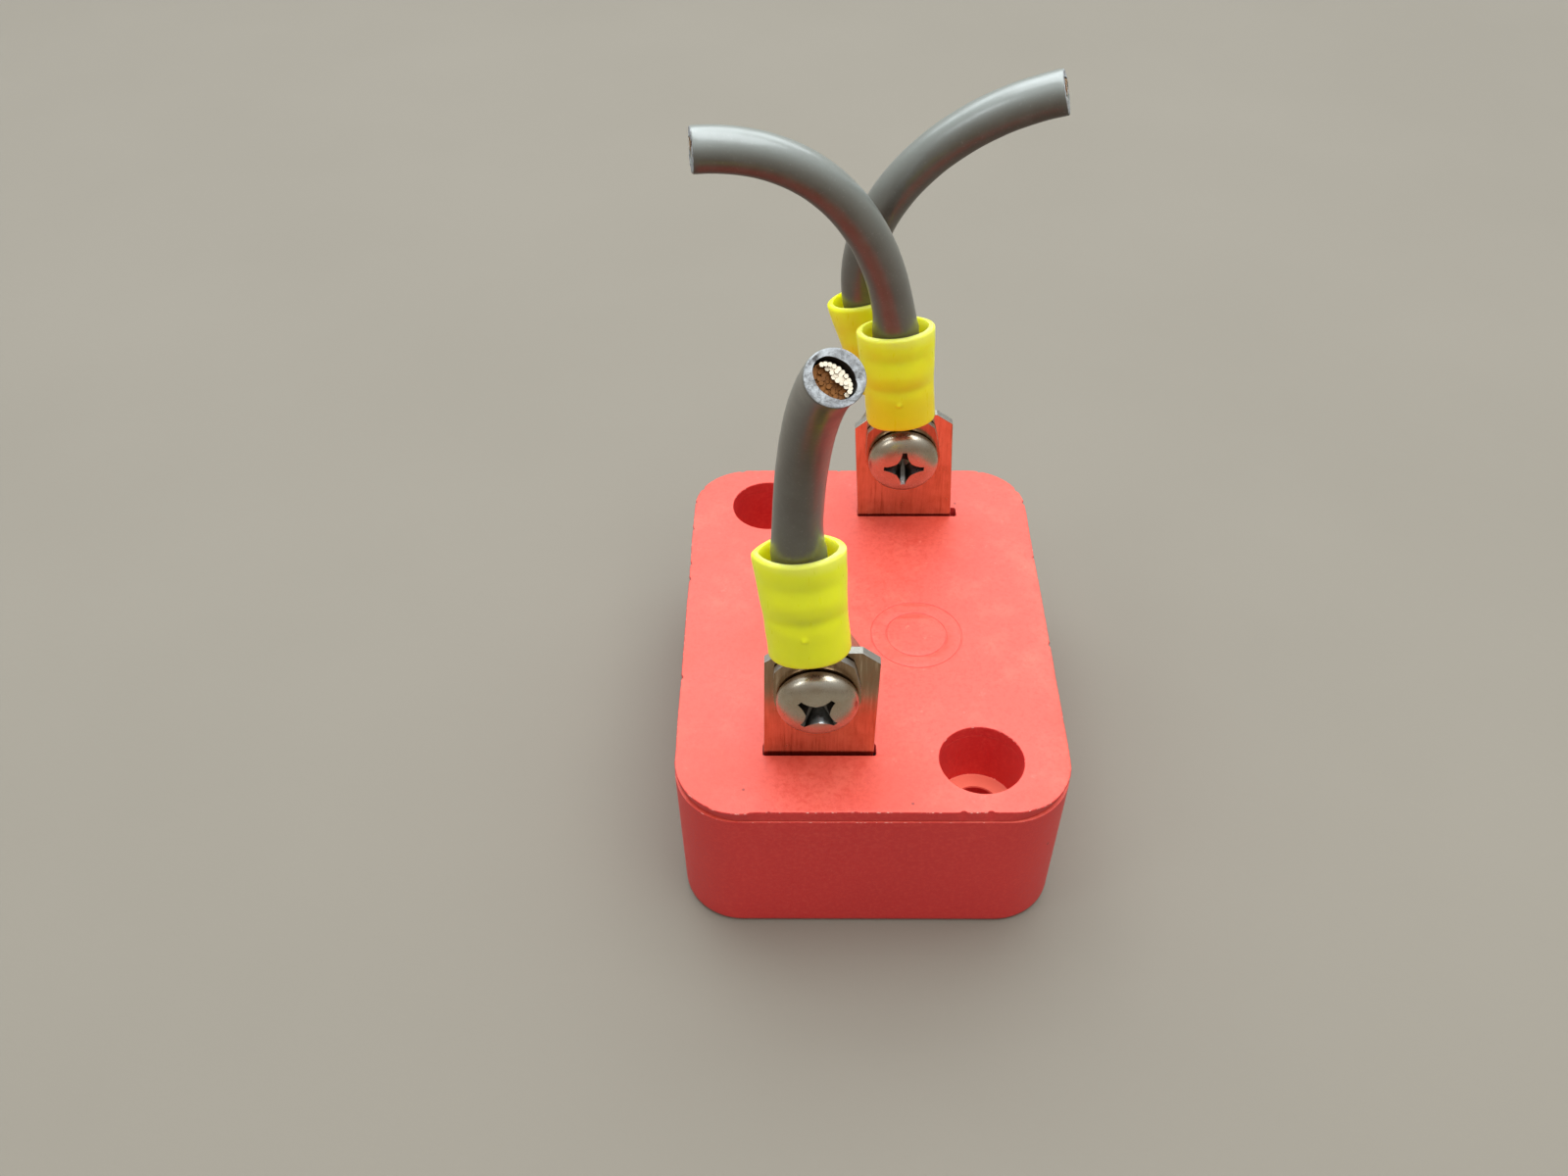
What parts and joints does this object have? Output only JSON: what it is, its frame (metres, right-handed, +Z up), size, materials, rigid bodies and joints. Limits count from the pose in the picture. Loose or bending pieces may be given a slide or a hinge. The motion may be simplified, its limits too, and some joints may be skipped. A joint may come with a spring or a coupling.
{
  "type": "potted two-terminal surge absorber block",
  "caption": "Red moulded block with two flat screw terminals standing out of its lid, wired with crimped ring lugs to short cut grey wires.",
  "frame": {"origin": "centre of the flat underside of the box, on its mounting plane", "axes": "+Z up out of the lid, the front terminal and the near wire face -Y, +X to the right"},
  "size_m": [0.045, 0.0653, 0.0842],
  "materials": {
    "red_plastic": "moulded red thermoplastic, fine matte grain, light scuffs on the edges",
    "potting": "dark cast epoxy",
    "ceramic": "sintered dark grey ceramic",
    "collar": "pale insulating ring",
    "tin_plate": "bright tin plating over copper alloy",
    "zinc_steel": "bright zinc-plated steel",
    "yellow_nylon": "slightly translucent yellow nylon",
    "grey_pvc": "soft grey PVC with a low sheen",
    "copper": "stranded soft copper, cut bright at the end"
  },
  "bodies": {
    "housing": {"base_cup": "red_plastic", "lid": "red_plastic", "potting_compound": "potting", "varistor_disc": "ceramic", "disc_collar": "collar", "upper_electrode": "tin_plate", "lower_electrode": "tin_plate", "front_terminal": "tin_plate", "rear_terminal": "tin_plate"},
    "front_screw": {"front_screw": "zinc_steel"},
    "front_nut": {"front_nut": "zinc_steel", "front_lock_washer": "zinc_steel"},
    "rear_screw": {"rear_screw": "zinc_steel"},
    "rear_nut": {"rear_nut": "zinc_steel", "rear_lock_washer": "zinc_steel"},
    "front_lug": {"front_lug": "tin_plate", "front_sleeve": "yellow_nylon", "front_jacket": "grey_pvc", "front_conductor": "copper"},
    "rear_left_lug": {"rear_left_lug": "tin_plate", "rear_left_sleeve": "yellow_nylon", "rear_left_jacket": "grey_pvc", "rear_left_conductor": "copper"},
    "rear_right_lug": {"rear_right_lug": "tin_plate", "rear_right_sleeve": "yellow_nylon", "rear_right_jacket": "grey_pvc", "rear_right_conductor": "copper"}
  },
  "joints": [
    {"name": "front_screw_turn", "type": "hinge", "parent": "housing", "child": "front_screw", "pos_m": [-0.00634, -0.02072, 0.0324], "axis": [0, -1, 0], "range_deg": [0, 1440]},
    {"name": "front_nut_travel", "type": "slide", "parent": "housing", "child": "front_nut", "axis": [0, 1, 0], "range_m": [0, 0.00317]},
    {"name": "rear_screw_turn", "type": "hinge", "parent": "housing", "child": "rear_screw", "pos_m": [0.00516, 0.0207, 0.0324], "axis": [0, -1, 0], "range_deg": [0, 1440]},
    {"name": "rear_nut_travel", "type": "slide", "parent": "housing", "child": "rear_nut", "axis": [0, 1, 0], "range_m": [0, 0.00317]},
    {"name": "front_lug_swivel", "type": "hinge", "parent": "housing", "child": "front_lug", "pos_m": [-0.00634, -0.02072, 0.0324], "axis": [0, 1, 0], "range_deg": [-80, 90]},
    {"name": "rear_left_lug_swivel", "type": "hinge", "parent": "housing", "child": "rear_left_lug", "pos_m": [0.00516, 0.0207, 0.0324], "axis": [0, 1, 0], "range_deg": [-60, 90]},
    {"name": "rear_right_lug_swivel", "type": "hinge", "parent": "housing", "child": "rear_right_lug", "pos_m": [0.00516, 0.0207, 0.0324], "axis": [0, 1, 0], "range_deg": [-70, 70]}
  ],
  "couplings": [
    {"joint": "front_screw_turn", "follows": "front_nut_travel", "rad_per_m": 7915.8},
    {"joint": "rear_screw_turn", "follows": "rear_nut_travel", "rad_per_m": 7915.8}
  ]
}
